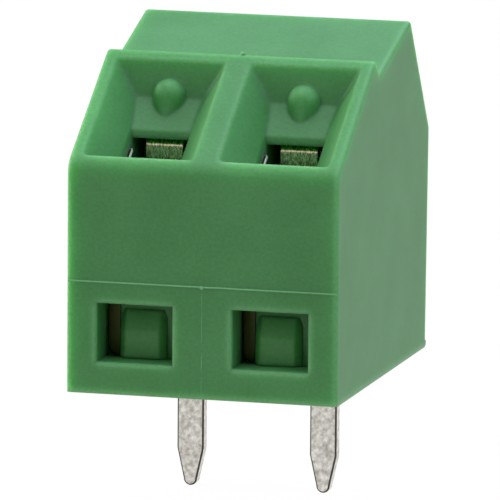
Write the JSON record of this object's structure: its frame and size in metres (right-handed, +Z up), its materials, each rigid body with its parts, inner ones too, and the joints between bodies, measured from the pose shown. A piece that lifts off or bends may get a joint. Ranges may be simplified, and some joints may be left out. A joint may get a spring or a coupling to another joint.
{
  "type": "pcb terminal block",
  "caption": "Screwless push-in terminal block for a circuit board: two slanted wire pockets, each with a domed stud on a shelf over its clamp spring, a snap-in base and flat solder pins.",
  "frame": {"origin": "on the seating plane against the circuit board, in the middle of the row of solder pins", "axes": "+Z up from the board, -Y towards the wire side with the slanted face, +X along the row of poles"},
  "size_m": [0.01, 0.0129, 0.0171],
  "materials": {
    "housing_green": "matte moulded polyamide",
    "base_green": "matte moulded polyamide",
    "tinned_contact": "matte tin plating on folded copper alloy strip",
    "spring_steel": "satin spring steel leaf"
  },
  "bodies": {
    "block": {"housing": "housing_green", "base": "base_green", "contact_1": "tinned_contact", "contact_2": "tinned_contact"},
    "clamp_1": {"clamp_spring_1": "spring_steel"},
    "clamp_2": {"clamp_spring_2": "spring_steel"}
  },
  "joints": [
    {"name": "clamp_1_open", "type": "hinge", "parent": "block", "child": "clamp_1", "pos_m": [-0.0025, -0.00115, 0.00783], "axis": [1, 0, 0], "range_deg": [0, 18], "stiffness_Nm_per_rad": 0.23, "deforming": ["clamp_spring_1"]},
    {"name": "clamp_2_open", "type": "hinge", "parent": "block", "child": "clamp_2", "pos_m": [0.0025, -0.00115, 0.00783], "axis": [1, 0, 0], "range_deg": [0, 18], "stiffness_Nm_per_rad": 0.23, "deforming": ["clamp_spring_2"]}
  ]
}
